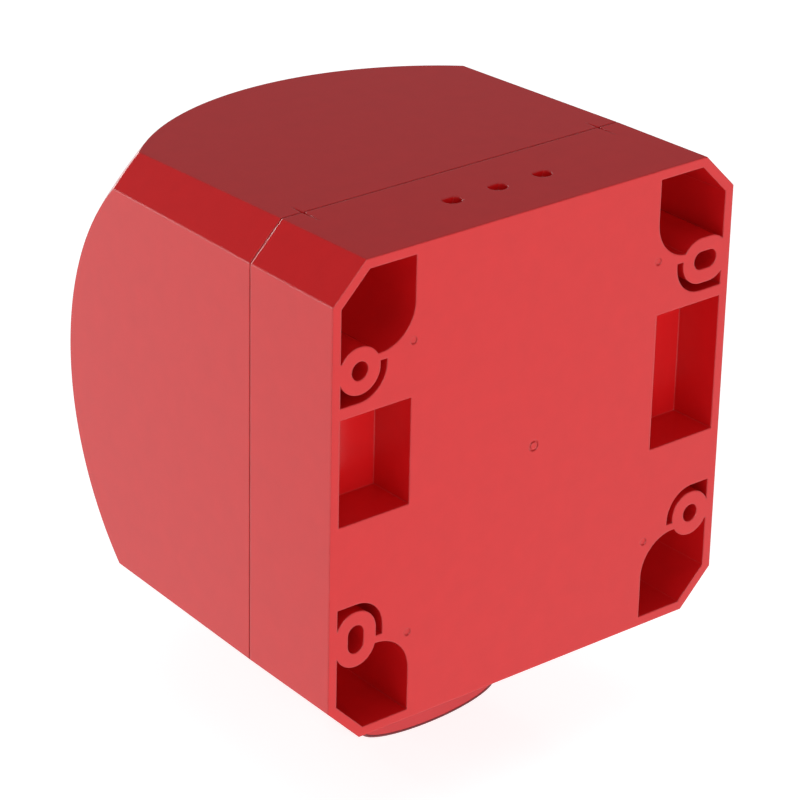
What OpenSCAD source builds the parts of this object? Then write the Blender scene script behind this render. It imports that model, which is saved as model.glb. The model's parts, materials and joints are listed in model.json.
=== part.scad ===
// Wall-mounted horn strobe: a square moulded base, a deep front cover cut to a dome line,
// a horn with a compression driver in the middle and a flash lens hanging under the cover.
// Frame: the wall face is the plane y = 0, the front looks along -Y, up is +Z.

/* [Housing] */
// Width and height of the square wall face
body_w = 130; // [128:1:133]
// Leg of the 45 degree cut on each long corner, at the wall face
corner_cut = 10; // [9.4:0.2:10.6]
// Thickness of the moulded walls
wall = 2.6; // [2.4:0.1:2.8]
// Depth of the rear base, from the wall face to the parting line
base_depth = 33.2; // [33.2:0.1:34]
// Gap that shows as the parting line
seam_gap = 0.4; // [0.3:0.1:0.6]
// Slope of the base sides, which widen towards the wall
base_draft = 1.5; // [1.2:0.1:1.7]
// Slope of the cover sides, which narrow towards the front
cover_draft = 2.2; // [2:0.1:2.4]
// Radius of the sphere that trims the front rim
dome_r = 99.1; // [98.5:0.1:99.8]
// Depth of that sphere's centre
dome_centre = 38.2; // [37.8:0.1:38.8]

/* [Wall fixings] */
// Half the distance between the fixing holes, across
fixing_x = 56.5; // [56:0.1:57]
// Half the distance between the fixing holes, up and down
fixing_z = 36.5; // [36:0.1:37]
// Diameter of a fixing hole
fixing_hole = 5; // [4.5:0.1:5.2]
// Overall length of a slotted fixing hole
slot_length = 7.8; // [7:0.1:8]
// Depth of the corner pockets in the wall face
corner_pocket_depth = 28; // [26:0.5:28]
// Depth of the two rectangular pockets in the wall face
side_pocket_depth = 13.9; // [12:0.1:15]

/* [Cable entries] */
// Diameter of a cable entry, for a 20 mm gland
entry_hole = 20.3; // [20:0.1:20.5]
// Distance of each entry from the middle
entry_x = 15; // [14.5:0.1:15.5]

/* [Horn] */
// Radius of the horn's throat
throat_r = 8; // [7:0.5:9]
// Depth of the throat plane
throat_depth = 66; // [66:0.1:66.5]
// Radius of the horn's mouth
mouth_r = 41.5; // [41:0.1:42]
// Depth of the mouth plane
mouth_depth = 125; // [124.5:0.1:125.5]

/* [Strobe] */
// Half the width of the lens
lens_half_w = 23.2; // [22.8:0.1:24]
// Height of the lens bottom below the middle of the body
lens_drop = 98.3; // [97:0.1:99]
// Rise of the curved lens bottom at its sides
lens_crown = 5.2; // [4:0.1:6]
// Depth of the flat back of the lens
lens_back = 38.2; // [37.8:0.1:38.6]
// Thickness of the lens
lens_wall = 2.2; // [2:0.1:2.6]

/* [Hidden] */
$fn = 96;

red = [0.80, 0.07, 0.08];
dark_red = [0.55, 0.02, 0.03];
black = [0.08, 0.08, 0.09];
grey = [0.45, 0.46, 0.48];
steel = [0.72, 0.73, 0.75];
brass = [0.80, 0.64, 0.28];
copper = [0.72, 0.40, 0.20];
board_green = [0.05, 0.33, 0.16];
green = [0.12, 0.50, 0.22];
white = [0.90, 0.90, 0.88];
blue = [0.10, 0.25, 0.62];
smoke_glass = [0.85, 0.88, 0.90];

// Small overlap that keeps cuts and joins clean
eps = 0.05;
// Beyond the front of everything
far_front = 145;

// Rear base
back_wall = 2.8;
ledge_width = 3.2;
ledge_top = 29.7;
ledge_thick = 1.6;
gasket_thick = 2;
gasket_width = 2.4;
gasket_play = 0.2;
pocket_wall = 2.2;
pocket_inner = 39.6;
pocket_round = 10.8;
boss_r = 6.3;
recess_r = 8.4;
recess_depth = 10;
recess_rise = 1.1;
fixing_seat = 12;
fixing_head_r = 4.8;
side_pocket_x = 40.4;
side_pocket_top = 25;
side_pocket_low_left = -3.9;
side_pocket_low_right = -13.2;

// Marks in the outside of the base and cover
dimple_r = 2.6;
dimple_flat = 1.6;
dimple_depth = 1.9;
dimple_pitch = 14.6;
dimple_at = 17.2;
flute_x = 48.1;
flute_len = 7.2;
flute_w = 1.9;
flute_depth = 1.3;
pip_r = 1;
pip_x = 40;
pip_z = 40;

// Screws that hold the front cover
cover_screw_x = 34;
cover_screw_z = 52;
pillar_r = 4.5;
pillar_top = 33;
insert_r = 2.9;
insert_len = 8.8;
screw_r = 2;
screw_play = 0.05;
screw_end = 25.2;
well_r = 6;
well_bore = 4.5;
well_floor = 34.5;
well_seat = 38;
seal_thick = 1.4;
head_r = 3.8;
head_h = 3.4;

// Cable entries
entry_depth = 16.5;
entry_land = 64;
entry_inner = 60;
entry_land_r = 13;

// Main board and what stands on it
board_x = 68;
board_z = 92;
board_back = 12;
board_thick = 1.6;
board_top = board_back + board_thick;
post_x = 29;
post_z = 41;
post_r = 3.5;
terminal_ways = 6;
terminal_pitch = 5.08;
terminal_z = -36;
terminal_d = 10;
terminal_h = 11;
lever_count = 6;
lever_pitch = 2.54;
lever_size = 1.3;
lever_travel = 2;
lever_play = 0.1;
dip_x = -22;
dip_z = 8;
dip_w = 9.8;
dip_h = 4.5;
dip_slot_depth = 1.9;
volume_x = -22;
volume_z = 30;
volume_side = 10;
volume_h = 5;
rotor_r = 3.4;
capacitor_r = 6.5;
capacitor_len = 26;
capacitor_x = 24;
capacitor_z = 8;
chip_x = 2;
chip_z = 17;
chip_half = 5;
chip_leg_pitch = 1.1;
chip_legs = 7;
part_pitch = 4;
inverter_x = 22;
inverter_z = -15;
core_half = 7;
core_window = 4;
coil_half_x = 6;
coil_half_z = 3.8;
pin_pitch = 2.54;
pin_r = 0.35;

// Front cover, dome and horn
dome_recess = 1.5;
dome_wall = 2.5;
dome_play = 0.2;
dome_outer = dome_r - dome_recess;
dome_inner = dome_outer - dome_wall;
seat_r = dome_inner - 0.1;
seat_thick = 2.6;
seat_width = 4;
spigot_end = ledge_top + gasket_thick + 0.1;
spigot_play = 0.25;
spigot_thick = 1.8;
collar_r = mouth_r + 2.7;
collar_thick = 2.4;
collar_end = 107;
rim_bead = 1.8;
flare_wall = 2;
flare_steps = 28;
flare_flange_r = 51;
flare_flange_thick = 2.5;
flare_screw_r = 48.6;
flare_screws_count = 6;
guard_thick = 2.4;
guard_bar = 2.2;
guard_bars = 6;
guard_hub_r = 13;
guard_front = mouth_depth - 6;

// Driver
cup_back = 35;
cup_r = 35;
cup_wall = 2;
cup_flange_r = 40;
cup_flange_thick = 4;
magnet_back = 41;
plate_back = 51;
plate_front = 56;
mount_front = 59;
chamber_front = 61.5;
pole_r = 12;
gap_r = 13.4;
diaphragm_r = 22.9;
diaphragm_at = 57.4;
diaphragm_thick = 0.4;
cap_r = 12.8;
cap_rise = 3;

// Strobe
aperture_x = 18;
aperture_back = 46;
aperture_front = 94;
lens_sphere = dome_r + 2.2;
lens_seal = 1;
lens_screw_x = 18.4;
lens_screw_back = 43;
lens_screw_front = 99;
strobe_post_x = 20.2;
strobe_post_back = 50;
strobe_post_front = 90;
strobe_board_z = -57.6;
tube_z = -76;
tube_depth = 64;
tube_r = 2.2;
tube_half = 13.5;
reflector_r = 11;
reflector_thick = 0.8;
reflector_half = 14.5;

// ---- helpers ----

// Turns a shape drawn as (across, up, depth) so that depth runs from the wall to the front
module facing_front() rotate([90, 0, 0]) children();

// Round bar or disc along the depth, from depth d0 to depth d1
module disc(r, d0, d1) translate([0, 0, d0]) cylinder(r = r, h = d1 - d0);

// Ring along the depth
module ring(r_out, r_in, d0, d1)
    difference() {
        disc(r_out, d0, d1);
        disc(r_in, d0 - 1, d1 + 1);
    }

// Rectangular block given by its two opposite corners
module block(low, high) translate(low) cube(high - low);

// Copies at the four corners of a rectangle
module at_corners(x, z)
    for (sx = [-1, 1], sz = [-1, 1]) translate([sx * x, sz * z, 0]) children();

// Outer width of the body at a depth
function face_w(d) =
    d <= base_depth
    ? body_w - 2 * d * tan(base_draft)
    : face_w(base_depth) - 2 * (d - base_depth) * tan(cover_draft);

// Leg of the corner cut that goes with a width, the walls being of equal thickness all round
function cut_for(w) = corner_cut - (2 - sqrt(2)) * (body_w - w) / 2;

function octagon(w, d) =
    let (h = w / 2, k = w / 2 - cut_for(w))
    [[k, h, d], [-k, h, d], [-h, k, d], [-h, -k, d], [-k, -h, d], [k, -h, d], [h, -k, d], [h, k, d]];

// Tapered square block with cut corners, inset from the outside of the body
module body_block(d0, d1, inset = 0)
    polyhedron(
        points = concat(octagon(face_w(d0) - 2 * inset, d0), octagon(face_w(d1) - 2 * inset, d1)),
        faces = concat(
            [[for (i = [0:7]) i]],
            [[for (i = [15:-1:8]) i]],
            [for (i = [0:7]) [(i + 1) % 8, i, i + 8, (i + 1) % 8 + 8]]
        )
    );

module dome_ball(r) translate([0, 0, dome_centre]) sphere(r = r);

// Round end to round end outline, stretched by half_x and half_z
module stretched_circle(r, half_x = 0, half_z = 0) {
    for (s = [-1, 1]) translate([s * half_x, s * half_z]) circle(r = r);
    if (half_x > 0) square([2 * half_x, 2 * r], center = true);
    if (half_z > 0) square([2 * r, 2 * half_z], center = true);
}

// Quarter of the plane beyond [x, z], with its inner corner rounded
module rounded_quarter(x, z, r) {
    translate([x + r, z]) square([body_w, body_w]);
    translate([x, z + r]) square([body_w, body_w]);
    translate([x + r, z + r]) circle(r = r);
}

// ---- rear base ----

// Half stretch of a fixing slot; the upper right one lies across, the lower left one stands up
stretch = slot_length / 2 - fixing_hole / 2;
function stretch_x(sx, sz) = sx < 0 && sz > 0 ? stretch : 0;
function stretch_z(sx, sz) = sx > 0 && sz < 0 ? stretch : 0;

// A feature of the (+x, +z) corner, mirrored into the corner given by sx and sz
module in_corner(sx, sz)
    mirror([sx < 0 ? 1 : 0, 0, 0]) mirror([0, sz < 0 ? 1 : 0, 0]) children();

module fixing_outline(r, sx, sz)
    translate([fixing_x, fixing_z]) stretched_circle(r, stretch_x(sx, sz), stretch_z(sx, sz));

module corner_pocket(sx, sz)
    intersection() {
        body_block(-1, corner_pocket_depth, wall);
        translate([0, 0, -1]) linear_extrude(corner_pocket_depth + 1) difference() {
            rounded_quarter(pocket_inner, pocket_inner, pocket_round);
            fixing_outline(boss_r, sx, sz);
        }
    }

// Recess round the side of the fixing boss that faces the middle of the wall
module boss_recess(sx, sz)
    intersection() {
        body_block(-1, recess_depth, wall);
        translate([0, 0, -1]) linear_extrude(recess_depth + 1) difference() {
            intersection() {
                rounded_quarter(
                    fixing_x - recess_r - stretch_x(sx, sz),
                    fixing_z - recess_r - stretch_z(sx, sz),
                    recess_r
                );
                square([body_w, fixing_z + recess_rise]);
            }
            fixing_outline(boss_r, sx, sz);
        }
    }

module fixing_hole_cut(sx, sz) {
    translate([0, 0, -1]) linear_extrude(fixing_seat + 2) fixing_outline(fixing_hole / 2, sx, sz);
    translate([0, 0, fixing_seat]) linear_extrude(base_depth) fixing_outline(fixing_head_r, sx, sz);
}

module side_pocket(low)
    intersection() {
        body_block(-1, side_pocket_depth, wall);
        block([side_pocket_x, low, -1], [body_w, side_pocket_top, side_pocket_depth]);
    }

module base_shell()
    difference() {
        body_block(0, base_depth);
        body_block(back_wall, base_depth + 1, wall);
    }

module base_blocks()
    intersection() {
        body_block(0.5, ledge_top, wall / 2);
        union() {
            at_corners_block();
            block([side_pocket_x - pocket_wall, side_pocket_low_left - pocket_wall, 0],
                [body_w, side_pocket_top + pocket_wall, side_pocket_depth + pocket_wall]);
            block([-body_w, side_pocket_low_right - pocket_wall, 0],
                [-side_pocket_x + pocket_wall, side_pocket_top + pocket_wall,
                 side_pocket_depth + pocket_wall]);
            entry_pads();
            gasket_ledge();
        }
    }

module at_corners_block()
    for (sx = [-1, 1], sz = [-1, 1])
        in_corner(sx, sz)
            block([pocket_inner - pocket_wall, fixing_z - recess_r - pocket_wall - stretch, 0],
                [body_w, body_w, ledge_top + 1]);

module gasket_ledge()
    difference() {
        body_block(ledge_top - ledge_thick, ledge_top + 1);
        body_block(ledge_top - ledge_thick - 1, ledge_top + 2, wall + ledge_width);
    }

module entry_pads()
    for (s = [-1, 1])
        translate([s * entry_x, -entry_inner, entry_depth])
            rotate([90, 0, 0]) cylinder(r = entry_land_r, h = body_w);

module entry_cuts()
    for (s = [-1, 1]) translate([s * entry_x, 0, entry_depth]) rotate([90, 0, 0]) {
        translate([0, 0, entry_inner - 2]) cylinder(r = entry_hole / 2, h = wall + 8);
        translate([0, 0, entry_land]) cylinder(r = entry_land_r, h = 5);
    }

// Half-round dimples in the top of the base, each flat on the side towards the front
module top_dimples()
    for (i = [-1, 0, 1])
        translate([i * dimple_pitch, face_w(dimple_at) / 2 - dimple_depth, dimple_at])
            rotate([-90, 0, 0]) intersection() {
                cylinder(r1 = dimple_r * 0.85, r2 = dimple_r * 1.15, h = 2 * dimple_depth);
                translate([-body_w / 2, -dimple_flat, -1]) cube([body_w, body_w, 5]);
            }

// Vee-shaped flutes that cross the parting line on the top
module seam_flutes()
    for (s = [-1, 1]) translate([s * flute_x, face_w(base_depth) / 2, base_depth])
        for (side = [0, 180]) rotate([0, side, 0]) polyhedron(
            points = [
                [-flute_w / 2, 1, -eps], [flute_w / 2, 1, -eps], [0, -flute_depth, -eps],
                [-0.2, 1, flute_len], [0.2, 1, flute_len], [0, 0.2, flute_len]
            ],
            faces = [[0, 2, 1], [3, 4, 5], [0, 3, 5, 2], [1, 2, 5, 4], [0, 1, 4, 3]]
        );

module rear_base()
    color(red) facing_front() difference() {
        union() {
            base_shell();
            base_blocks();
            at_corners(cover_screw_x, cover_screw_z) disc(pillar_r, 1, pillar_top);
            at_corners(post_x, post_z) disc(post_r, 1, board_back);
        }
        for (sx = [-1, 1], sz = [-1, 1]) in_corner(sx, sz) {
            corner_pocket(sx, sz);
            boss_recess(sx, sz);
            fixing_hole_cut(sx, sz);
        }
        side_pocket(side_pocket_low_left);
        mirror([1, 0, 0]) side_pocket(side_pocket_low_right);
        entry_cuts();
        top_dimples();
        seam_flutes();
        at_corners(cover_screw_x, cover_screw_z) disc(insert_r, pillar_top - insert_len, far_front);
        at_corners(post_x, post_z) disc(1.25, 5, board_back + 1);
        at_corners(pip_x, pip_z) disc(pip_r, -1, 0.3);
        ring(pip_r * 1.5, pip_r, -1, 0.3);
    }

module base_gasket()
    color(black) facing_front() difference() {
        body_block(ledge_top, ledge_top + gasket_thick, wall + gasket_play);
        body_block(ledge_top - 1, ledge_top + gasket_thick + 1, wall + gasket_play + gasket_width);
    }

module threaded_inserts()
    color(brass) facing_front() at_corners(cover_screw_x, cover_screw_z)
        ring(insert_r, screw_r + screw_play, pillar_top - insert_len, pillar_top - 0.1);

module blanking_plug()
    color(dark_red) translate([-entry_x, -entry_depth, 0]) difference() {
        union() {
            translate([0, 0, -entry_land - 0.8]) cylinder(r = entry_hole / 2 - 0.1, h = 10);
            translate([0, 0, -entry_land - 2.4]) cylinder(r = 12.4, h = 1.6);
        }
        translate([0, 0, -entry_land + 1.6]) cylinder(r = entry_hole / 2 - 2, h = 20);
        translate([0, 0, -entry_land - 3]) cube([12, 2, 2.6], center = true);
    }

module plug_seal()
    color(black) translate([-entry_x, -entry_depth, -entry_land - 0.8]) difference() {
        cylinder(r = 12.2, h = 0.8);
        translate([0, 0, -1]) cylinder(r = entry_hole / 2, h = 3);
    }

module plug_nut()
    color(black) translate([-entry_x, -entry_depth, -entry_inner]) difference() {
        cylinder(r = 13.1, h = 4.5, $fn = 6);
        translate([0, 0, -1]) cylinder(r = entry_hole / 2, h = 8);
    }

// ---- main board ----

module main_board()
    color(board_green) facing_front() difference() {
        block([-board_x / 2, -board_z / 2, board_back], [board_x / 2, board_z / 2, board_top]);
        at_corners(post_x, post_z) disc(1.7, 0, far_front);
    }

module board_screws()
    color(steel) facing_front() at_corners(post_x, post_z) difference() {
        union() {
            disc(2.9, board_top, board_top + 2);
            disc(1.2, 6, board_top + 1);
        }
        translate([0, 0, board_top + 2]) cube([4, 0.8, 1.6], center = true);
    }

// Small surface-mounted parts in two rows
module board_components()
    color(black) facing_front() {
        for (i = [0:4]) translate([-4 + part_pitch * i, 34, board_top]) cube([2.6, 1.6, 1]);
        for (i = [0:4]) translate([-12, -22 + part_pitch * i, board_top]) cube([1.6, 2.6, 1]);
        for (i = [0:2]) translate([-4 + 6 * i, 40, board_top]) cube([4, 3, 2.2]);
    }

module controller_chip()
    color(black) facing_front() {
        block([chip_x - chip_half, chip_z - chip_half, board_top + 0.2],
            [chip_x + chip_half, chip_z + chip_half, board_top + 1.8]);
        for (i = [0:chip_legs - 1], s = [-1, 1])
            translate([chip_x + s * (chip_half + 0.6), chip_z - 3.4 + i * chip_leg_pitch, board_top])
                translate([-0.7, 0, 0]) cube([1.4, 0.5, 0.7]);
    }

module terminal_block()
    color(green) facing_front() difference() {
        block([-terminal_ways * terminal_pitch / 2 - 1, terminal_z - terminal_d / 2, board_top],
            [terminal_ways * terminal_pitch / 2 + 1, terminal_z + terminal_d / 2, board_top + terminal_h]);
        for (i = [0:terminal_ways - 1]) translate([terminal_at(i), terminal_z, 0]) {
            disc(2.1, board_top + 3, board_top + terminal_h + 1);
            translate([-1.9, -terminal_d, board_top + 2]) cube([3.8, terminal_d, 3.8]);
        }
    }

function terminal_at(i) = (i - (terminal_ways - 1) / 2) * terminal_pitch;

module terminal_screws()
    color(steel) facing_front() for (i = [0:terminal_ways - 1])
        translate([terminal_at(i), terminal_z, 0]) difference() {
            disc(2, board_top + 6.4, board_top + 9.4);
            translate([0, 0, board_top + 9.4]) cube([5, 0.8, 1.6], center = true);
        }

function lever_z(i) = dip_z + (i - (lever_count + 1) / 2) * lever_pitch;

module dip_switch_body()
    color(blue) facing_front() difference() {
        block([dip_x - dip_w / 2, dip_z - lever_count * lever_pitch / 2 - 0.5, board_top],
            [dip_x + dip_w / 2, dip_z + lever_count * lever_pitch / 2 + 0.5, board_top + dip_h]);
        for (i = [1:lever_count]) translate([dip_x, lever_z(i), board_top + dip_h])
            cube([lever_size + lever_travel + 2 * lever_play, lever_size + 2 * lever_play,
                2 * dip_slot_depth], center = true);
    }

module dip_lever(i)
    color(white) facing_front()
        translate([dip_x - lever_travel / 2, lever_z(i), board_top + dip_h - dip_slot_depth + lever_play])
            translate([-lever_size / 2, -lever_size / 2, 0]) cube([lever_size, lever_size, 2.9]);

module volume_body()
    color(blue) facing_front() difference() {
        translate([volume_x - volume_side / 2, volume_z - volume_side / 2, board_top])
            cube([volume_side, volume_side, volume_h]);
        translate([volume_x, volume_z, 0]) disc(rotor_r + screw_play, board_top + 2.5, far_front);
    }

module volume_rotor()
    color(white) facing_front() translate([volume_x, volume_z, 0]) difference() {
        disc(rotor_r, board_top + 2.6, board_top + volume_h + 0.6);
        translate([0, 0, board_top + volume_h + 0.6]) cube([5, 0.9, 2], center = true);
    }

module flash_capacitor()
    color(black) facing_front()
        translate([capacitor_x, capacitor_z, board_top + capacitor_r + 0.1]) rotate([-90, 0, 0])
        difference() {
            cylinder(r = capacitor_r, h = capacitor_len);
            translate([0, 0, 2]) difference() {
                cylinder(r = capacitor_r + 1, h = 0.8);
                translate([0, 0, -1]) cylinder(r = capacitor_r - 0.5, h = 3);
            }
        }

module inverter_core()
    color(grey) facing_front() difference() {
        block([inverter_x - core_half, inverter_z - core_half, board_top + 1.5],
            [inverter_x + core_half, inverter_z + core_half, board_top + 13.5]);
        block([inverter_x - core_half - 1, inverter_z - core_window, board_top + 0.5],
            [inverter_x + core_half + 1, inverter_z + core_window, board_top + 10.5]);
    }

module inverter_coil()
    color(copper) facing_front() union() {
        block([inverter_x - coil_half_x, inverter_z - coil_half_z, board_top + 1.5],
            [inverter_x + coil_half_x, inverter_z + coil_half_z, board_top + 10.3]);
        block([inverter_x - coil_half_x - 0.6, inverter_z - coil_half_z, board_top],
            [inverter_x + coil_half_x + 0.6, inverter_z + coil_half_z, board_top + 1.5]);
    }

function pin_x(i) = (i - 1.5) * pin_pitch;

module link_header()
    color(black) facing_front() difference() {
        block([-5.5, -3, board_top], [5.5, 3, board_top + 2.5]);
        for (i = [0:3], s = [-1, 1]) translate([pin_x(i), s * pin_pitch / 2, 0])
            disc(pin_r, 0, far_front);
    }

module link_pins()
    color(brass) facing_front() for (i = [0:3], s = [-1, 1])
        translate([pin_x(i), s * pin_pitch / 2, 0]) disc(pin_r, board_top, board_top + 8.5);

module link_socket()
    color(black) facing_front() difference() {
        block([-5.5, -3, board_top + 3], [5.5, 3, cup_back]);
        for (i = [0:3], s = [-1, 1]) translate([pin_x(i), s * pin_pitch / 2, 0])
            disc(pin_r + 0.1, 0, board_top + 9);
    }

// ---- front cover ----

module spigot()
    difference() {
        union() {
            body_block(spigot_end, base_depth + seam_gap + 1, wall + spigot_play);
            body_block(base_depth + seam_gap, base_depth + seam_gap + 2, wall / 2);
        }
        body_block(spigot_end - 1, base_depth + seam_gap + 3, wall + spigot_play + spigot_thick);
    }

// Inner ledge that the dome rests on
module dome_seat()
    intersection() {
        difference() {
            dome_ball(seat_r);
            dome_ball(seat_r - seat_thick);
        }
        difference() {
            body_block(base_depth + 30, far_front, wall / 2);
            body_block(base_depth + 29, far_front + 1, wall + seat_width);
        }
    }

module screw_wells()
    at_corners(cover_screw_x, cover_screw_z) disc(well_r, well_floor, far_front);

// Webs that tie each screw well to the nearest wall
module well_webs()
    for (sx = [-1, 1], sz = [-1, 1])
        in_corner(sx, sz)
            block([cover_screw_x - 1.1, cover_screw_z, well_floor], [cover_screw_x + 1.1, body_w, 100]);

module front_cover()
    color(red) facing_front() difference() {
        union() {
            intersection() {
                dome_ball(dome_r);
                difference() {
                    body_block(base_depth + seam_gap, far_front);
                    body_block(base_depth, far_front + 1, wall);
                }
            }
            spigot();
            dome_seat();
            intersection() {
                dome_ball(seat_r);
                body_block(well_floor, far_front, wall / 2);
                union() {
                    screw_wells();
                    well_webs();
                    strobe_posts();
                }
            }
        }
        at_corners(cover_screw_x, cover_screw_z) {
            disc(well_bore, well_seat, far_front);
            disc(screw_r + 0.25, 0, far_front);
        }
        block([-aperture_x, -body_w, aperture_back], [aperture_x, -body_w / 3, aperture_front]);
        lens_screw_holes();
        seam_flutes();
        strobe_post_holes();
    }

module at_strobe_posts()
    for (s = [-1, 1], d = [strobe_post_back, strobe_post_front])
        translate([s * strobe_post_x, 0, d]) rotate([90, 0, 0]) children();

module strobe_posts() at_strobe_posts() translate([0, 0, -strobe_board_z]) cylinder(r = 2.1, h = 20);

module strobe_post_holes()
    at_strobe_posts() translate([0, 0, -strobe_board_z - 1]) cylinder(r = 1, h = 4);

module at_lens_screws(d)
    for (s = [-1, 1]) translate([s * lens_screw_x, 0, d]) rotate([90, 0, 0]) children();

// Upright bars along the lens screws, from z0 to z1 below the middle of the body
module lens_screw_bars(r, z0, z1)
    for (d = [lens_screw_back, lens_screw_front])
        at_lens_screws(d) translate([0, 0, z0]) cylinder(r = r, h = z1 - z0);

module lens_screw_holes() lens_screw_bars(1.7, 50, 70);

module front_dome()
    color(red) facing_front() difference() {
        union() {
            intersection() {
                body_block(base_depth + 20, far_front, wall + dome_play);
                difference() {
                    dome_ball(dome_outer);
                    dome_ball(dome_inner);
                }
            }
            intersection() {
                dome_ball(dome_outer - 0.5);
                union() {
                    disc(collar_r + collar_thick, collar_end, far_front);
                    flare_screw_bosses();
                }
            }
            translate([0, 0, mouth_depth - 0.3]) rotate_extrude()
                translate([collar_r + rim_bead, 0]) circle(r = rim_bead, $fn = 32);
        }
        disc(collar_r, 0, far_front);
        at_corners(cover_screw_x, cover_screw_z) disc(well_bore + 0.3, 0, far_front);
        at_flare_screws() disc(1.2, collar_end - 1, collar_end + 6);
    }

module at_flare_screws()
    for (i = [0:flare_screws_count - 1])
        rotate(i * 360 / flare_screws_count) translate([flare_screw_r, 0, 0]) children();

module flare_screw_bosses() at_flare_screws() disc(2.4, collar_end, far_front);

// Exponential horn: its radius grows by the same share for each step of depth
function flare_r(d) =
    throat_r * exp(ln(mouth_r / throat_r) * (d - throat_depth) / (mouth_depth - throat_depth));
function flare_d(i) = throat_depth + i * (mouth_depth - throat_depth) / flare_steps;

module horn_flare()
    color(dark_red) facing_front() difference() {
        union() {
            rotate_extrude() polygon(concat(
                [for (i = [0:flare_steps]) [flare_r(flare_d(i)), flare_d(i)]],
                [for (i = [flare_steps:-1:0]) [flare_r(flare_d(i)) + flare_wall, flare_d(i)]]
            ));
            ring(cup_flange_r, throat_r + 1.5, throat_depth, throat_depth + 3);
            ring(flare_flange_r, flare_r(collar_end) + 1, collar_end - flare_flange_thick, collar_end);
        }
        at_flare_screws() disc(1.6, collar_end - 5, collar_end + 1);
        at_cup_screws() disc(1.3, throat_depth - 1, throat_depth + 2.6);
    }

module flare_screws()
    color(steel) facing_front() at_flare_screws() difference() {
        union() {
            disc(2.6, collar_end - flare_flange_thick - 2, collar_end - flare_flange_thick);
            disc(1.15, collar_end - flare_flange_thick - 1, collar_end + 5);
        }
        translate([0, 0, collar_end - flare_flange_thick - 2]) cube([4, 0.8, 1.6], center = true);
    }

// Finger and rain guard across the horn's mouth: a hub and six bars that meet the flare
module mouth_guard()
    color(black) facing_front() translate([0, 0, guard_front - guard_thick]) {
        cylinder(r = guard_hub_r, h = guard_thick);
        for (a = [0:360 / guard_bars:359]) rotate(a) translate([0, -guard_bar / 2, 0])
            cube([guard_reach, guard_bar, guard_thick]);
    }

guard_reach = flare_r(guard_front - guard_thick) - 0.05;

// ---- driver ----

module at_cup_screws() for (a = [45:90:315]) rotate(a) translate([cup_flange_r - 2.6, 0, 0]) children();

module driver_cup()
    color(black) facing_front() difference() {
        union() {
            disc(cup_r, cup_back, throat_depth);
            disc(cup_flange_r, throat_depth - cup_flange_thick, throat_depth);
        }
        disc(cup_r - cup_wall, cup_back + 2, far_front);
        at_cup_screws() disc(1.6, 0, far_front);
    }

module driver_screws()
    color(steel) facing_front() at_cup_screws() difference() {
        union() {
            disc(2.2, throat_depth - cup_flange_thick - 2, throat_depth - cup_flange_thick);
            disc(1.25, throat_depth - cup_flange_thick - 1, throat_depth + 2.4);
        }
        translate([0, 0, throat_depth - cup_flange_thick - 2]) cube([3.4, 0.8, 1.6], center = true);
    }

module driver_back_plate()
    color(steel) facing_front() difference() {
        union() {
            disc(30, cup_back + 2, magnet_back);
            disc(pole_r, magnet_back - 1, plate_front);
        }
        disc(3, 0, far_front);
    }

module driver_magnet() color(grey) facing_front() ring(32, 17, magnet_back, plate_back);

module driver_top_plate() color(steel) facing_front() ring(30, gap_r, plate_back, plate_front);

module surround_ring()
    color(black) facing_front() ring(32.5, diaphragm_r + 0.4, plate_front, mount_front);

module driver_front_plate()
    color(grey) facing_front() difference() {
        disc(32.5, mount_front, throat_depth);
        disc(24, mount_front - 1, chamber_front);
        disc(throat_r, 0, far_front);
    }

// Height of the domed middle of the diaphragm above its flat edge
cap_sphere = (cap_r * cap_r + cap_rise * cap_rise) / (2 * cap_rise);
function cap_at(r) = sqrt(cap_sphere * cap_sphere - r * r) - (cap_sphere - cap_rise);
cap_steps = 10;

module diaphragm()
    color(white) facing_front() translate([0, 0, diaphragm_at]) rotate_extrude() polygon(concat(
        [for (i = [0:cap_steps]) [cap_r * i / cap_steps, cap_at(cap_r * i / cap_steps) + diaphragm_thick]],
        [[diaphragm_r, diaphragm_thick], [diaphragm_r, 0], [cap_r, 0]],
        [for (i = [cap_steps - 1:-1:0]) [cap_r * i / cap_steps, cap_at(cap_r * i / cap_steps)]]
    ));

module voice_coil() color(copper) facing_front() ring(13, 12.4, plate_back - 2, diaphragm_at);

// ---- strobe ----

// Outline of the lens across the body, inset by its wall for the hollow
function lens_outline(t) = concat(
    [[lens_half_w - t, 0], [-lens_half_w + t, 0]],
    [for (a = [180:7.5:360])
        [(lens_half_w - t) * cos(a), -(lens_drop - lens_crown) + (lens_crown - t * 0.6) * sin(a)]]
);

module lens_solid(t)
    intersection() {
        translate([0, 0, lens_back + t]) linear_extrude(far_front) polygon(lens_outline(t));
        dome_ball(lens_sphere - t);
    }

module strobe_lens()
    color(dark_red) facing_front() difference() {
        union() {
            difference() {
                lens_solid(0);
                lens_solid(lens_wall);
            }
            intersection() {
                lens_solid(1);
                lens_screw_bars(3.2, 50, 75);
            }
        }
        body_block(base_depth, far_front, -lens_seal);
        lens_screw_bars(1.2, 50, 72.5);
    }

module lens_gasket()
    color(black) facing_front() difference() {
        intersection() {
            body_block(base_depth, far_front, -lens_seal);
            lens_solid(0.3);
            block([-body_w, -body_w, 0], [body_w, 0, far_front]);
        }
        body_block(base_depth, far_front + 1);
        block([-aperture_x, -body_w, aperture_back], [aperture_x, 0, aperture_front]);
        lens_screw_holes();
    }

// Height below the middle of the inner face of the cover's bottom wall
function bottom_inside(d) = face_w(d) / 2 - wall;

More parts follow.
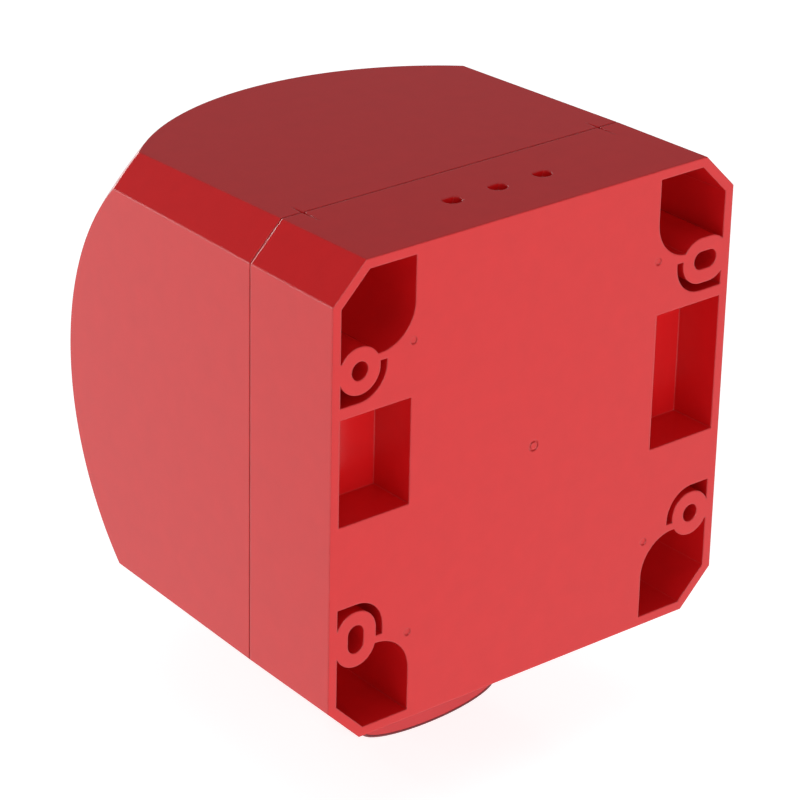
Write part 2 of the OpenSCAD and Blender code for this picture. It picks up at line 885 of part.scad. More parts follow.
module lens_screws()
    color(steel) facing_front() for (d = [lens_screw_back, lens_screw_front]) at_lens_screws(d)
        translate([0, 0, bottom_inside(d) - 0.1]) difference() {
            union() {
                translate([0, 0, -1.6]) cylinder(r = 2.7, h = 1.6);
                translate([0, 0, -1]) cylinder(r = 1.15, h = 11);
            }
            translate([0, 0, -1.6]) cube([4, 0.8, 1.4], center = true);
        }

module strobe_board()
    color(board_green) facing_front() difference() {
        block([-strobe_post_x - 2.2, strobe_board_z, aperture_back + 1],
            [strobe_post_x + 2.2, strobe_board_z + 1.6, aperture_front - 1]);
        at_strobe_posts() translate([0, 0, 50]) cylinder(r = 1.4, h = 10);
    }

module strobe_screws()
    color(steel) facing_front() at_strobe_posts() {
        translate([0, 0, -strobe_board_z - 1.6 - 1.6]) cylinder(r = 2, h = 1.6);
        translate([0, 0, -strobe_board_z - 1.6 - 0.1]) cylinder(r = 0.95, h = 4.4);
    }

// Trough above the flash tube that throws its light down and out
module strobe_reflector()
    color(steel) facing_front() difference() {
        union() {
            translate([-reflector_half, tube_z, tube_depth]) rotate([0, 90, 0])
                cylinder(r = reflector_r + reflector_thick, h = 2 * reflector_half);
            for (s = [-1, 1]) block(
                [s * 8 - 2, tube_z + reflector_r, tube_depth - 1],
                [s * 8 + 2, strobe_board_z, tube_depth + 1]);
        }
        translate([-body_w / 2, tube_z, tube_depth]) rotate([0, 90, 0])
            cylinder(r = reflector_r, h = body_w);
        block([-body_w, -body_w, 0], [body_w, tube_z, far_front]);
    }

module xenon_tube()
    color(smoke_glass) facing_front() translate([-tube_half, tube_z, tube_depth])
        rotate([0, 90, 0]) cylinder(r = tube_r, h = 2 * tube_half);

module tube_electrodes()
    color(steel) facing_front() for (s = [-1, 1]) {
        translate([s * (tube_half + 1.5), tube_z, tube_depth]) rotate([0, 90, 0])
            cylinder(r = tube_r, h = 3, center = true);
        translate([s * 16, tube_z, tube_depth]) rotate([-90, 0, 0])
            cylinder(r = 0.5, h = strobe_board_z - tube_z);
    }

module trigger_coil()
    color(copper) facing_front() translate([0, strobe_board_z + 1.6, 80]) rotate([-90, 0, 0])
        cylinder(r = 4.5, h = 9);

// ---- captive cover screws ----

module cover_screw(i)
    color(steel) facing_front() translate([cover_screw_at(i)[0], cover_screw_at(i)[1], 0]) difference() {
        union() {
            disc(screw_r, screw_end, well_seat + seal_thick + 1);
            disc(head_r, well_seat + seal_thick, well_seat + seal_thick + head_h);
        }
        translate([0, 0, well_seat + seal_thick + head_h]) {
            cube([5.2, 1, 2.6], center = true);
            cube([1, 5.2, 2.6], center = true);
        }
    }

function cover_screw_at(i) = [
    [cover_screw_x, cover_screw_z], [-cover_screw_x, cover_screw_z],
    [-cover_screw_x, -cover_screw_z], [cover_screw_x, -cover_screw_z]
][i - 1];

module screw_seals()
    color(black) facing_front() at_corners(cover_screw_x, cover_screw_z)
        ring(head_r, screw_r + 0.1, well_seat, well_seat + seal_thick);

rear_base();
base_gasket();
threaded_inserts();
blanking_plug();
plug_seal();
plug_nut();
main_board();
board_screws();
board_components();
controller_chip();
terminal_block();
terminal_screws();
dip_switch_body();
dip_lever(1);  // dip_lever_1
dip_lever(2);  // dip_lever_2
dip_lever(3);  // dip_lever_3
dip_lever(4);  // dip_lever_4
dip_lever(5);  // dip_lever_5
dip_lever(6);  // dip_lever_6
volume_body();
volume_rotor();
flash_capacitor();
inverter_coil();
inverter_core();
link_header();
link_pins();
front_cover();
front_dome();
mouth_guard();
horn_flare();
flare_screws();
driver_cup();
driver_screws();
driver_back_plate();
driver_magnet();
driver_top_plate();
surround_ring();
driver_front_plate();
diaphragm();
voice_coil();
link_socket();
lens_gasket();
strobe_lens();
lens_screws();
strobe_board();
strobe_screws();
strobe_reflector();
xenon_tube();
tube_electrodes();
trigger_coil();
cover_screw(1);  // cover_screw_1
cover_screw(2);  // cover_screw_2
cover_screw(3);  // cover_screw_3
cover_screw(4);  // cover_screw_4
screw_seals();
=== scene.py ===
import json
import math

import bmesh
import bpy
from mathutils import Matrix, Vector

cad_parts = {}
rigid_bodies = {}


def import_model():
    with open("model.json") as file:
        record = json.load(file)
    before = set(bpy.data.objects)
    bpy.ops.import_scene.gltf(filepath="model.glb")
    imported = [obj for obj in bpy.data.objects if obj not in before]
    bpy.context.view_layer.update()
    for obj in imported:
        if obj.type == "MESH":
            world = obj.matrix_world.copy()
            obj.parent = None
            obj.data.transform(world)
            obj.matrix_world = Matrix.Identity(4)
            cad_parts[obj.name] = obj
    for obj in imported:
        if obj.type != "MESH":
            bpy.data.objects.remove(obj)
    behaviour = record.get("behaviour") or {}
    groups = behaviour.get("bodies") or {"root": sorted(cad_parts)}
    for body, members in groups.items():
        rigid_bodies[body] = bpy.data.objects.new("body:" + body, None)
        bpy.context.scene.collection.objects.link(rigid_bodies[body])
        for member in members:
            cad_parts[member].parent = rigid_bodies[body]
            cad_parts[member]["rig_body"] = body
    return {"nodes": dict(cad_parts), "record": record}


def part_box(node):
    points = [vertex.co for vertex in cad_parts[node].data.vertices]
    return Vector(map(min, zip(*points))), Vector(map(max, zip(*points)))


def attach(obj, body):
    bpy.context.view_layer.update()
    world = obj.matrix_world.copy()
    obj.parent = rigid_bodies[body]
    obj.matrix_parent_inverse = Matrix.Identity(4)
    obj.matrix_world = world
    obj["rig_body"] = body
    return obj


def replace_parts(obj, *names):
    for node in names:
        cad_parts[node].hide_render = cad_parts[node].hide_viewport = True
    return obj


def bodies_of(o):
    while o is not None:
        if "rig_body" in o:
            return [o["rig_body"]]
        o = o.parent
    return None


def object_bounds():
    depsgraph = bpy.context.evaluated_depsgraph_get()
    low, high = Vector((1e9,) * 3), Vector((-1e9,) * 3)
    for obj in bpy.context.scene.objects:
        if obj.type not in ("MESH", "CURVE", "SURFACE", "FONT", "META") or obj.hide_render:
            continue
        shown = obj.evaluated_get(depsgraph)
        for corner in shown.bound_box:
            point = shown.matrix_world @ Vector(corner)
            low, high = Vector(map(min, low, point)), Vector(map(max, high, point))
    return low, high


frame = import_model()
cad_box = [list(corner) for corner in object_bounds()]
nodes = frame["nodes"]
scene = bpy.context.scene
MM = 0.001

# ---------------------------------------------------------------- materials
# Every range of roughness stays on one side of 0.27: the denoiser treats the two sides differently, and a range
# that crosses it shows as lines on a face.

BEVEL_SAMPLES = 4


def put(tree, socket, value):
    """Links value to socket if it is a node's output, or else sets it; a colour comes without its alpha."""
    if isinstance(value, bpy.types.NodeSocket):
        tree.links.new(value, socket)
    elif socket.type == "RGBA":
        socket.default_value = (*value, 1)
    else:
        socket.default_value = value


def set_inputs(tree, node, **values):
    """Links or sets inputs by name, with underscores for spaces."""
    for key, value in values.items():
        put(tree, node.inputs[key.replace("_", " ")], value)


def add(tree, kind, **values):
    """Adds a node; values are its inputs, or its settings where it has no such input."""
    node = tree.nodes.new(kind)
    for key, value in values.items():
        if key.replace("_", " ") in node.inputs:
            set_inputs(tree, node, **{key: value})
        else:
            setattr(node, key, value)
    return node


def new_material(name):
    mat = bpy.data.materials.new(name)
    mat.use_nodes = True
    tree = mat.node_tree
    return mat, tree, tree.nodes["Principled BSDF"]


def object_coords(tree):
    return tree.nodes.new("ShaderNodeTexCoord").outputs["Object"]


def noise(tree, coords, scale, detail, rough=0.5, distortion=0.0):
    return add(tree, "ShaderNodeTexNoise", Vector=coords, Scale=scale, Detail=detail, Roughness=rough,
               Distortion=distortion).outputs["Fac"]


def remap(tree, value, low, high, start=0.12, end=0.88):
    """Takes start..end, by default about the whole range of a noise, to low..high."""
    return add(tree, "ShaderNodeMapRange", Value=value, From_Min=start, From_Max=end, To_Min=low,
               To_Max=high).outputs["Result"]


def calculate(tree, operation, a, b):
    node = add(tree, "ShaderNodeMath", operation=operation)
    put(tree, node.inputs[0], a)
    put(tree, node.inputs[1], b)
    return node.outputs["Value"]


def mix_colour(tree, factor, a, b):
    node = add(tree, "ShaderNodeMix", data_type="RGBA")
    for number, value in ((0, factor), (6, a), (7, b)):
        put(tree, node.inputs[number], value)
    return node.outputs[2]


def shade(colour, k):
    return tuple(min(1, c * k) for c in colour)


def rounded_normal(tree, radius):
    return add(tree, "ShaderNodeBevel", samples=BEVEL_SAMPLES, Radius=radius).outputs["Normal"]


def edge_mask(tree, radius):
    """1 on the edges of a shape and 0 on its faces."""
    dot = add(tree, "ShaderNodeVectorMath", operation="DOT_PRODUCT")
    put(tree, dot.inputs[0], rounded_normal(tree, radius))
    put(tree, dot.inputs[1], tree.nodes.new("ShaderNodeNewGeometry").outputs["True Normal"])
    return remap(tree, dot.outputs["Value"], 0, 1, 0.996, 0.95)


def bump(tree, shader, heights, rounding=0.3 * MM):
    """Rounded edges with bumps over them: heights is a list of (height socket, strength, distance)."""
    last = rounded_normal(tree, rounding)
    for height, strength, distance in heights:
        last = add(tree, "ShaderNodeBump", Height=height, Strength=strength, Distance=distance,
                   Normal=last).outputs["Normal"]
    put(tree, shader.inputs["Normal"], last)


def plastic(name, colour, rough=(0.285, 0.35), grain=2600, grain_height=0.012 * MM, wear=0.10, rounding=0.3 * MM):
    """Moulded plastic: fine grain, slow flow waves, uneven gloss, light scuffs, rubbed edges."""
    mat, tree, shader = new_material(name)
    coords = object_coords(tree)
    slow = noise(tree, coords, 22, 2)
    cloud = noise(tree, coords, 160, 4, 0.6)
    fine = noise(tree, coords, grain, 2, 0.6)
    scratch = noise(tree, coords, 420, 5, 0.75, 0.2)
    tone = mix_colour(tree, remap(tree, cloud, 0, 1), shade(colour, 0.95), shade(colour, 1.05))
    worn = calculate(tree, "MULTIPLY", edge_mask(tree, 0.45 * MM), remap(tree, cloud, wear * 0.2, wear))
    pale = tuple(c + (1 - c) * 0.35 for c in colour)
    scuffs = remap(tree, scratch, 0, 0.02, 0.58, 0.75)
    set_inputs(tree, shader, Base_Color=mix_colour(tree, worn, tone, pale), IOR=1.49,
               Roughness=calculate(tree, "ADD", remap(tree, slow, *rough), scuffs))
    bump(tree, shader, [(slow, 0.3, 0.04 * MM), (fine, 0.5, grain_height)], rounding)
    return mat


def rubber(name):
    mat = plastic(name, (0.022, 0.022, 0.023), rough=(0.6, 0.78), grain=1500, grain_height=0.06 * MM, wear=0.05)
    mat.node_tree.nodes["Principled BSDF"].inputs["Sheen Weight"].default_value = 0.25
    return mat


def metal(name, colour, rough=(0.28, 0.42), grain=900, stretch=(1, 1, 1), wear=0.25):
    """Plated or turned metal: brushed grain, dull patches, bright edges."""
    mat, tree, shader = new_material(name)
    coords = object_coords(tree)
    stretched = add(tree, "ShaderNodeMapping", Vector=coords, Scale=stretch).outputs["Vector"]
    lines = noise(tree, stretched, grain, 3, 0.65)
    patches = noise(tree, coords, 240, 4, 0.6)
    tone = mix_colour(tree, remap(tree, patches, 0, 1), shade(colour, 0.82), shade(colour, 1.05))
    worn = calculate(tree, "MULTIPLY", edge_mask(tree, 0.2 * MM), wear)
    set_inputs(tree, shader, Base_Color=mix_colour(tree, worn, tone, shade(colour, 1.3)),
               Roughness=remap(tree, lines, *rough), Metallic=1.0)
    bump(tree, shader, [(lines, 0.4, 0.008 * MM)], 0.15 * MM)
    return mat


def board_laminate(name):
    """Green solder resist over copper tracks and a woven glass core."""
    mat, tree, shader = new_material(name)
    coords = object_coords(tree)
    turned = add(tree, "ShaderNodeMapping", Vector=coords, Rotation=(math.radians(90), 0, 0)).outputs["Vector"]
    tracks = add(tree, "ShaderNodeTexBrick", offset=0.37, Vector=turned, Scale=260, Mortar_Size=0.028,
                 Mortar_Smooth=0.1, Brick_Width=2.2, Row_Height=0.42, Color1=(0, 0, 0), Color2=(0, 0, 0),
                 Mortar=(1, 1, 1)).outputs["Color"]
    weave = noise(tree, coords, 1400, 2)
    tint = mix_colour(tree, tracks, (0.008, 0.085, 0.030), (0.020, 0.17, 0.055))
    tint = mix_colour(tree, remap(tree, weave, 0, 0.35), tint, (0.006, 0.06, 0.025))
    set_inputs(tree, shader, Base_Color=tint, Roughness=remap(tree, weave, 0.28, 0.38), Coat_Weight=0.3)
    bump(tree, shader, [(tracks, 0.8, 0.04 * MM), (weave, 0.3, 0.01 * MM)])
    return mat


def copper_wire(name):
    """Enamelled copper wire with uneven colour."""
    mat, tree, shader = new_material(name)
    patches = noise(tree, object_coords(tree), 700, 3)
    tint = mix_colour(tree, remap(tree, patches, 0, 1), (0.42, 0.13, 0.04), (0.66, 0.27, 0.10))
    set_inputs(tree, shader, Base_Color=tint, Roughness=remap(tree, patches, 0.28, 0.40), Metallic=0.85,
               Coat_Weight=0.4)
    bump(tree, shader, [(patches, 0.3, 0.01 * MM)])
    return mat


def red_lens(name):
    """Red lens plastic: fairly clear, but clouded where it faces the wall."""
    mat, tree, shader = new_material(name)
    coords = object_coords(tree)
    slow = noise(tree, coords, 60, 3)
    fine = noise(tree, coords, 1800, 2)
    normal = tree.nodes.new("ShaderNodeTexCoord").outputs["Normal"]
    towards_wall = add(tree, "ShaderNodeSeparateXYZ", Vector=normal).outputs["Y"]
    tint = mix_colour(tree, remap(tree, slow, 0, 1), (0.60, 0.020, 0.026), (0.68, 0.028, 0.034))
    set_inputs(tree, shader, Base_Color=tint, Roughness=remap(tree, slow, 0.06, 0.14), IOR=1.49,
               Transmission_Weight=remap(tree, towards_wall, 0.62, 0.12, 0.5, 0.9))
    bump(tree, shader, [(slow, 0.3, 0.1 * MM), (fine, 0.3, 0.006 * MM)])
    return mat


def tube_glass(name):
    """Clear glass with a slight haze."""
    mat, tree, shader = new_material(name)
    haze = noise(tree, object_coords(tree), 500, 3)
    tint = mix_colour(tree, remap(tree, haze, 0, 1), (0.90, 0.92, 0.95), (0.98, 0.98, 1.0))
    set_inputs(tree, shader, Base_Color=tint, Roughness=remap(tree, haze, 0.02, 0.07), IOR=1.47,
               Transmission_Weight=0.92)
    bump(tree, shader, [(haze, 0.2, 0.02 * MM)])
    return mat


materials = {
    "red_abs": plastic("moulded_red", (0.64, 0.008, 0.010), rough=(0.18, 0.24), rounding=0.6 * MM),
    "horn_abs": plastic("moulded_dark_red", (0.40, 0.006, 0.008), rough=(0.285, 0.38)),
    "black_nylon": plastic("black_nylon", (0.022, 0.022, 0.024), rough=(0.42, 0.55), grain=1800,
                           grain_height=0.03 * MM),
    "green_nylon": plastic("green_nylon", (0.02, 0.24, 0.07), rough=(0.38, 0.5), grain=1800),
    "blue_nylon": plastic("blue_nylon", (0.015, 0.06, 0.30), rough=(0.35, 0.48), grain=1800),
    "white_nylon": plastic("white_nylon", (0.78, 0.77, 0.72), rough=(0.35, 0.5), grain=1800),
    "chip_epoxy": plastic("chip_epoxy", (0.02, 0.02, 0.022), rough=(0.5, 0.62), grain=4000, grain_height=0.03 * MM),
    "capacitor_sleeve": plastic("capacitor_sleeve", (0.012, 0.014, 0.05), rough=(0.28, 0.34)),
    "ferrite": plastic("sintered_ferrite", (0.05, 0.05, 0.055), rough=(0.5, 0.7), grain=1200,
                       grain_height=0.05 * MM),
    "diaphragm_film": plastic("formed_film", (0.70, 0.64, 0.50), rough=(0.28, 0.4)),
    "seal_rubber": rubber("moulded_rubber"),
    "brass": metal("turned_brass", (0.80, 0.58, 0.24), stretch=(1, 12, 1)),
    "steel": metal("zinc_steel", (0.66, 0.67, 0.70), stretch=(1, 6, 1)),
    "driver_casting": metal("die_casting", (0.50, 0.51, 0.53), rough=(0.4, 0.6), grain=500),
    "reflector_mirror": metal("bright_reflector", (0.92, 0.92, 0.93), rough=(0.04, 0.10), grain=300, wear=0.0),
    "board_laminate": board_laminate("board_laminate"),
    "copper": copper_wire("enamelled_copper"),
    "lens_red": red_lens("lens_red"),
    "flash_glass": tube_glass("flash_glass"),
}
# Darker red for the lens's lower rim: painted shade, where the clear plastic seen edge on looks dark.
painted_shade_rim = plastic("painted_shade_rim_red", (0.16, 0.012, 0.018), rough=(0.12, 0.2), grain=1800, grain_height=0.006 * MM)

# ---------------------------------------------------------------- CAD nodes

slot_of = {part["node"]: part["material_slot"] for part in frame["record"]["subparts"]}
for name, obj in nodes.items():
    obj.data.materials.clear()
    obj.data.materials.append(materials[slot_of[name]])

# ---------------------------------------------------------------- mesh tools


def body_of(node):
    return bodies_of(nodes[node])[0]


def new_mesh(name, verts, faces):
    """A mesh whose faces all look outwards."""
    mesh = bpy.data.meshes.new(name)
    mesh.from_pydata([tuple(v) for v in verts], [], faces)
    mesh.validate()
    bm = bmesh.new()
    bm.from_mesh(mesh)
    bmesh.ops.recalc_face_normals(bm, faces=bm.faces)
    bm.to_mesh(mesh)
    bm.free()
    return mesh


def piece(name, verts, faces, slot, body, smooth=True, material=None):
    """Adds a detail piece that rides on a body; its material is its slot's unless another is given."""
    mesh = new_mesh(name, verts, faces)
    mesh.polygons.foreach_set("use_smooth", [smooth] * len(mesh.polygons))
    obj = bpy.data.objects.new(name, mesh)
    scene.collection.objects.link(obj)
    if smooth:
        mesh.set_sharp_from_angle(angle=math.radians(38))
    mesh.materials.append(material or materials[slot])
    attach(obj, body)
    return obj


def islands(name):
    """Boxes (low, high) of the separate solids of a CAD node."""
    mesh = nodes[name].data
    parent = {}

    def root(k):
        while parent[k] != k:
            parent[k] = parent[parent[k]]
            k = parent[k]
        return k

    key = [tuple(round(c * 1e6) for c in v.co) for v in mesh.vertices]
    for k in key:
        parent.setdefault(k, k)
    for poly in mesh.polygons:
        first = root(key[poly.vertices[0]])
        for v in poly.vertices[1:]:
            parent[root(key[v])] = first
    boxes = {}
    for k in parent:
        low, high = boxes.setdefault(root(k), ([math.inf] * 3, [-math.inf] * 3))
        for i in range(3):
            low[i] = min(low[i], k[i] * 1e-6)
            high[i] = max(high[i], k[i] * 1e-6)
    return sorted((Vector(low), Vector(high)) for low, high in boxes.values())


def angles(sides):
    return [2 * math.pi * k / sides for k in range(sides)]


def band(a, b, sides):
    """Faces between two rings of vertices that start at a and at b."""
    return [(a + k, a + (k + 1) % sides, b + (k + 1) % sides, b + k) for k in range(sides)]


def cap(a, sides):
    """Face over a ring of vertices that starts at a."""
    return tuple(range(a, a + sides))


def sweep(points, profile, axis, verts, faces):
    """Adds a closed bar along points to verts and faces; profile is drawn across it, first along axis."""
    base, n = len(verts), len(profile)
    for i, p in enumerate(points):
        t = (points[min(i + 1, len(points) - 1)] - points[max(i - 1, 0)]).normalized()
        u = (axis - t * axis.dot(t)).normalized()
        v = t.cross(u)
        verts.extend(p + u * a + v * b for a, b in profile)
    for i in range(len(points) - 1):
        faces.extend(band(base + i * n, base + (i + 1) * n, n))
    faces.append(cap(base, n)[::-1])
    faces.append(cap(base + (len(points) - 1) * n, n))


def round_profile(radius, sides):
    return [(radius * math.cos(a), radius * math.sin(a)) for a in angles(sides)]


# ---------------------------------------------------------------- detail pieces


def wound_coil(name, node, wire, axis, power):
    """Wire of radius wire wound along axis between two flanges, in the box of a CAD node.

    power shapes the turns: 1 makes them elliptical, and less makes them boxy.
    """
    low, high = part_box(node)
    centre, half = (low + high) / 2, (high - low) / 2
    across = [i for i in range(3) if i != axis]
    pitch, steps = wire * 2.02, 28
    flange, play, flange_sides = 0.5 * MM, 0.1 * MM, 32
    turns = int(2 * (half[axis] - flange - play) / pitch)

    def outline(angle, along, inset):
        p = centre.copy()
        p[axis] += along
        for i, reach in zip(across, (math.cos(angle), math.sin(angle))):
            p[i] += (half[i] - inset) * math.copysign(abs(reach) ** power, reach)
        return p

    path = [outline(2 * math.pi * k / steps, (k / steps - turns / 2) * pitch, wire) for k in range(turns * steps + 1)]
    verts, faces = [], []
    sweep(path, round_profile(wire, 6), Vector([float(i == axis) for i in range(3)]), verts, faces)
    for end in (-1, 1):
        inner, outer = len(verts), len(verts) + flange_sides
        for along in (half[axis] - flange, half[axis]):
            verts.extend(outline(a, end * along, 0) for a in angles(flange_sides))
        faces += [cap(inner, flange_sides), *band(inner, outer, flange_sides), cap(outer, flange_sides)]
    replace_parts(piece(name, verts, faces, "copper", body_of(node)), node)


def cut_recess(obj, at):
    """Cuts a cross recess into a screw's head; at is the middle of its front face."""
    arm, half_width, depth, above, taper = 2.5, 0.5, 1.3, 1.0, 0.72
    verts, faces = [], []
    for sx, sz in ((arm, half_width), (half_width, arm)):
        n = len(verts)
        for y, k in ((-above, 1.0), (depth, taper)):
            verts.extend(at + Vector((ux * sx * k * MM, y * MM, uz * sz * k * MM))
                         for ux, uz in ((-1, -1), (1, -1), (1, 1), (-1, 1)))
        faces += [cap(n, 4)[::-1], cap(n + 4, 4), *band(n, n + 4, 4)]
    cutter = bpy.data.objects.new("recess_cutter", new_mesh("recess_cutter", verts, faces))
    scene.collection.objects.link(cutter)
    cut = obj.modifiers.new("recess", "BOOLEAN")
    cut.operation = "DIFFERENCE"
    cut.solver = "EXACT"
    cut.use_self = True
    cut.object = cutter
    bpy.context.view_layer.update()
    done = bpy.data.meshes.new_from_object(obj.evaluated_get(bpy.context.evaluated_depsgraph_get()))
    obj.modifiers.clear()
    spare = (obj.data, cutter.data)
    obj.data = done
    bpy.data.objects.remove(cutter)
    for mesh in spare:
        bpy.data.meshes.remove(mesh)
    done.name = obj.name


def threaded_screw(number):
    """Captive screw: cut thread, plain shank, fillister head with rounded rim and a cross recess."""
    node = f"cover_screw_{number}"
    low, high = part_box(node)
    cx, cz = (low.x + high.x) / 2, (low.z + high.z) / 2
    head_r, front, tip = (high.x - low.x) / 2, low.y, high.y
    root_r, crest_r, tip_r, shank_r = 1.62 * MM, 1.99 * MM, 1.0 * MM, 1.95 * MM
    pitch, lead_in, thread_len, sides, rings_per_turn = 0.7 * MM, 0.9 * MM, 9.0 * MM, 28, 6
    head_h = 3.38 * MM  # 0.02 mm clear of the seal

    def thread_radius(y, k):
        phase = ((tip - y) / pitch - k / sides) % 1
        tooth = 1 - abs(2 * phase - 1)
        return (root_r + (crest_r - root_r) * tooth) * (0.7 + 0.3 * min(1.0, (tip - y) / lead_in))

    rings = [(tip, [tip_r] * sides)]
    y = tip - 0.05 * MM
    while y > tip - thread_len:
        rings.append((y, [thread_radius(y, k) for k in range(sides)]))
        y -= pitch / rings_per_turn
    rings += [(y, [shank_r] * sides), (front + head_h, [shank_r] * sides)]
    for at, radius in ((head_h, 3.5), (head_h - 0.3 * MM, 3.8), (0.6 * MM, 3.8), (0.3 * MM, 3.7), (0.1 * MM, 3.45),
                       (0, 3.1)):
        rings.append((front + at, [min(radius * MM, head_r)] * sides))
    verts, faces = [], []
    for at, radii in rings:
        verts.extend((cx + r * math.cos(a), at, cz + r * math.sin(a)) for a, r in zip(angles(sides), radii))
    for i in range(len(rings) - 1):
        faces.extend(band(i * sides, (i + 1) * sides, sides))
    faces.append(cap(0, sides)[::-1])
    faces.append(cap((len(rings) - 1) * sides, sides))
    obj = piece(f"threaded_screw_{number}", verts, faces, "steel", body_of(node))
    cut_recess(obj, Vector((cx, front, cz)))
    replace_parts(obj, node)


def fillet(verts, faces, low, high, rise, end):
    """Solder on a pad: a thin plate that climbs by rise towards one end (0 low x, 1 high x, 2 low z, 3 high z)."""
    n = len(verts)
    corners = ((low.x, low.z), (high.x, low.z), (high.x, high.z), (low.x, high.z))
    climbs = ((0, 3), (1, 2), (0, 1), (2, 3))[end]
    verts.extend((x, high.y, z) for x, z in corners)
    verts.extend((x, low.y - (rise if i in climbs else 0), z) for i, (x, z) in enumerate(corners))
    faces += [tuple(n + i for i in f) for f in
              ((0, 1, 2, 3), (7, 6, 5, 4), (0, 4, 5, 1), (1, 5, 6, 2), (2, 6, 7, 3), (3, 7, 4, 0))]


def solder_work():
    """Tinned pads and fillets at the small parts and chip legs, and tinned rings round the board's screws."""
    pad, plate, small = 0.5 * MM, 0.06 * MM, 6 * MM
    ring_in, ring_out, ring_top, sides = 2.0 * MM, 3.8 * MM, 3.75 * MM, 40
    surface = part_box("main_board")[0].y
    verts, faces = [], []
    for low, high in islands("board_components") + islands("controller_chip"):
        size = high - low
        if max(size.x, size.z) > small:
            continue
        axis = 0 if size.x >= size.z else 2
        rise = min(0.45 * MM, (high.y - low.y) * 0.6)
        for side, edge in enumerate((low[axis], high[axis])):
            a, b = Vector((low.x, surface - plate, low.z)), Vector((high.x, surface, high.z))
            a[axis], b[axis] = (edge, edge + pad) if side else (edge - pad, edge)
            fillet(verts, faces, a, b, rise, axis + 1 - side)
    for low, high in islands("board_screws"):
        cx, cz, n = (low.x + high.x) / 2, (low.z + high.z) / 2, len(verts)
        for radius, y in ((ring_in, 0), (ring_out, 0), (ring_top, plate), (ring_in, plate)):
            verts.extend((cx + radius * math.cos(a), surface - y, cz + radius * math.sin(a)) for a in angles(sides))
        for r in range(4):
            faces.extend(band(n + r * sides, n + (r + 1) % 4 * sides, sides))
    piece("board_solder", verts, faces, "steel", body_of("main_board"), smooth=False)


LENS_CROWN = 5.2 * MM  # how far the lens's lower edge bows down


def lens_ribs():
    """Fine upright ribs inside the lens, which spread the flash; they follow its bottom and its round front."""
    low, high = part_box("strobe_lens")
    wall, ball_depth, step, top = 2.2 * MM, 38.2 * MM, 1.6 * MM, -67 * MM
    back = wall - high.y
    ball_r = math.hypot(-low.y - ball_depth, high.z) - wall
    half = (high.x - low.x) / 2 - wall
    profile = [(a * MM, b * MM) for a, b in ((-0.42, -0.2), (0.42, -0.2), (0.22, 0.38), (0, 0.5), (-0.22, 0.38))]
    count = int((half - step) / step)

    def front(x, z):
        return ball_depth + math.sqrt(ball_r ** 2 - x * x - z * z)

    verts, faces = [], []
    for k in range(-count, count + 1):
        x = k * step
        z_low = low.z + LENS_CROWN - (LENS_CROWN - wall * 0.6) * math.sqrt(1 - (x / half) ** 2)
        path = [Vector((x, -(back + (front(x, z_low) - back) * i / 5), z_low)) for i in range(6)]
        for i in range(1, 15):
            z = z_low + (top - z_low) * i / 14
            path.append(Vector((x, -front(x, z), z)))
        sweep(path, profile, Vector((1, 0, 0)), verts, faces)
    piece("lens_ribs", verts, faces, "lens_red", body_of("strobe_lens"))


def lens_rim():
    """Rounded lower edge of the lens, where the clear plastic is seen edge on and looks dark: its darker red is
    painted shade.
    """
    low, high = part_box("strobe_lens")
    half, y = (high.x - low.x) / 2 - 0.35 * MM, high.y - 0.3 * MM
    path = []
    for k in range(61):
        a = math.pi + math.pi * k / 60
        path.append(Vector((half * math.cos(a), y, low.z + LENS_CROWN + LENS_CROWN * math.sin(a))))
    verts, faces = [], []
    sweep(path, round_profile(0.48 * MM, 10), Vector((0, 1, 0)), verts, faces)
    piece("lens_rim", verts, faces, "lens_red", body_of("strobe_lens"), material=painted_shade_rim)


for number in (1, 2, 3, 4):
    threaded_screw(number)
wound_coil("inverter_winding", "inverter_coil", 0.26 * MM, 0, 0.45)
wound_coil("trigger_winding", "trigger_coil", 0.16 * MM, 2, 1)
solder_work()
lens_ribs()
lens_rim()

# ---------------------------------------------------------------- stage, light and camera


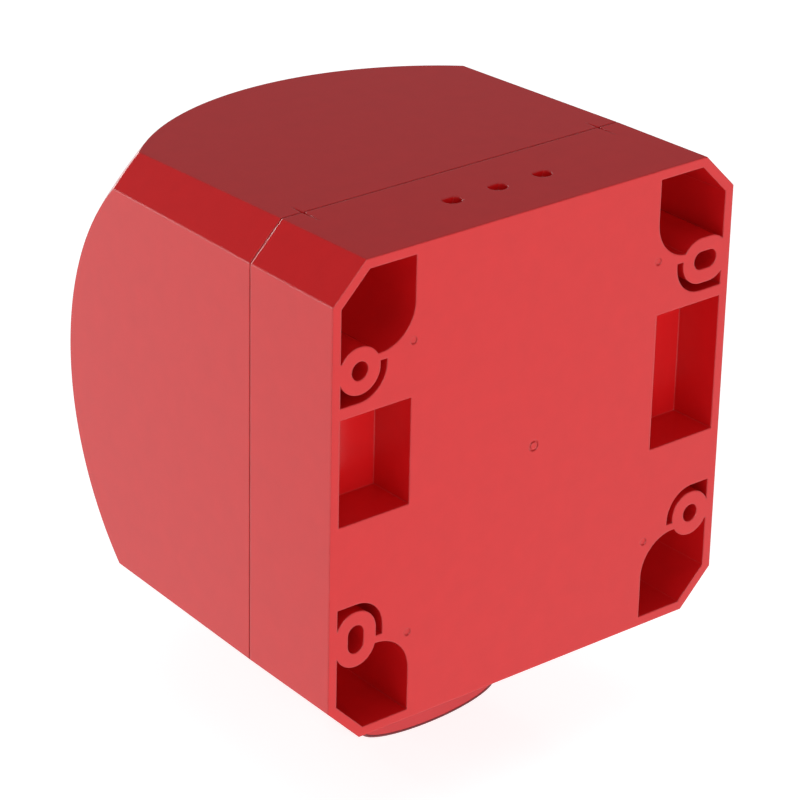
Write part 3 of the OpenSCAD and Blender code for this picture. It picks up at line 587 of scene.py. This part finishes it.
def make_floor():
    """Pale floor just under the object."""
    half = 12
    mesh = bpy.data.meshes.new("floor")
    mesh.from_pydata([(-half, -half, 0), (half, -half, 0), (half, half, 0), (-half, half, 0)], [], [(0, 1, 2, 3)])
    floor = bpy.data.objects.new("floor", mesh)
    floor.location = (0, 0, cad_box[0][2] - 0.3 * MM)
    scene.collection.objects.link(floor)
    mat, tree, shader = new_material("floor_white")
    set_inputs(tree, shader, Base_Color=(0.55, 0.55, 0.55), Roughness=0.9, Emission_Color=(1, 1, 1),
               Emission_Strength=0.82)
    mesh.materials.append(mat)


make_floor()
middle = (Vector(cad_box[0]) + Vector(cad_box[1])) / 2


def area_light(name, position, width, height, power):
    """Soft light that looks at the middle of the object."""
    data = bpy.data.lights.new(name, "AREA")
    data.shape = "RECTANGLE"
    data.size, data.size_y = width, height
    data.energy = power
    lamp = bpy.data.objects.new(name, data)
    lamp.location = position
    lamp.rotation_mode = "QUATERNION"
    lamp.rotation_quaternion = (middle - Vector(position)).to_track_quat("-Z", "Y")
    scene.collection.objects.link(lamp)


area_light("key_light", (0.5, 2.2, 0.5), 1.6, 1.2, 22.6)
area_light("side_light", (2.2, 0.4, 0.5), 1.4, 1.2, 0.6)
area_light("front_light", (-0.1, -2.4, 0.45), 1.0, 0.6, 13)
area_light("top_light", (0.2, 0.2, 2.4), 2.0, 2.0, 14)
# Low, and to the camera's left: the upper left chamfer's edge mirrors it.
area_light("glint_light", (1.74, -1.70, 0.16), 1.3, 0.36, 13)

world = bpy.data.worlds.new("studio")
scene.world = world
world.use_nodes = True
set_inputs(world.node_tree, world.node_tree.nodes["Background"], Color=(0.95, 0.97, 1.0), Strength=0.22)
scene.view_settings.view_transform = "Standard"

# The camera was fitted to the straight edges in the photo; its focal length is in pixels of the photo.
FOCAL_LENGTH, PHOTO_WIDTH = 3552.23, 800
camera_data = bpy.data.cameras.new("camera")
camera_data.sensor_width = 36
camera_data.lens = camera_data.sensor_width * FOCAL_LENGTH / PHOTO_WIDTH
camera_data.clip_start = 0.01
camera_data.clip_end = 100
camera = bpy.data.objects.new("camera", camera_data)
right = Vector((-0.7756167, 0.6309078, 0.0193402))
down = Vector((0.2580844, 0.3449443, -0.9024444))
forward = Vector((-0.5760305, -0.6949596, -0.4303720))
turn = Matrix((right, -down, -forward)).transposed().to_4x4()
camera.matrix_world = Matrix.Translation((0.537223, 0.595073, 0.393833)) @ turn
scene.collection.objects.link(camera)
scene.camera = camera
